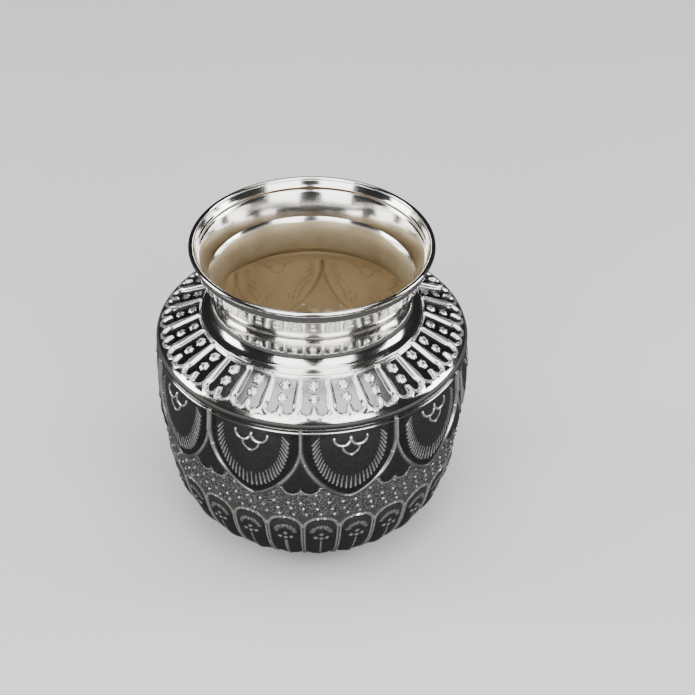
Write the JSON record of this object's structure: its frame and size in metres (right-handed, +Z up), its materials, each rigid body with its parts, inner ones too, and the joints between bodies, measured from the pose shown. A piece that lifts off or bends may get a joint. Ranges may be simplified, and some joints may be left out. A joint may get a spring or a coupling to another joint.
{
  "type": "lota water pot",
  "caption": "Small round-bellied silver water pot with a chased bowl, a fluted shoulder band, a short waisted neck and a wide flared mouth.",
  "frame": {"origin": "middle of the flat resting face under the bowl", "axes": "+Z up the axis of the pot, out of its mouth; the pot is round, so X and Y have no front or side"},
  "size_m": [0.1138, 0.1138, 0.12],
  "materials": {
    "oxidised_silver": "silver sheet, chased, darkened in the hollows and worn bright on the raised lines",
    "chased_silver": "silver sheet, chased and polished, darkened only in the sunk panels",
    "polished_silver": "mirror polished silver with fine wiping scratches"
  },
  "bodies": {
    "root": {"bowl": "oxidised_silver", "shoulder": "chased_silver", "neck": "polished_silver", "lip_wire": "polished_silver", "neck_wire": "polished_silver", "seam_wire": "polished_silver"}
  },
  "joints": []
}
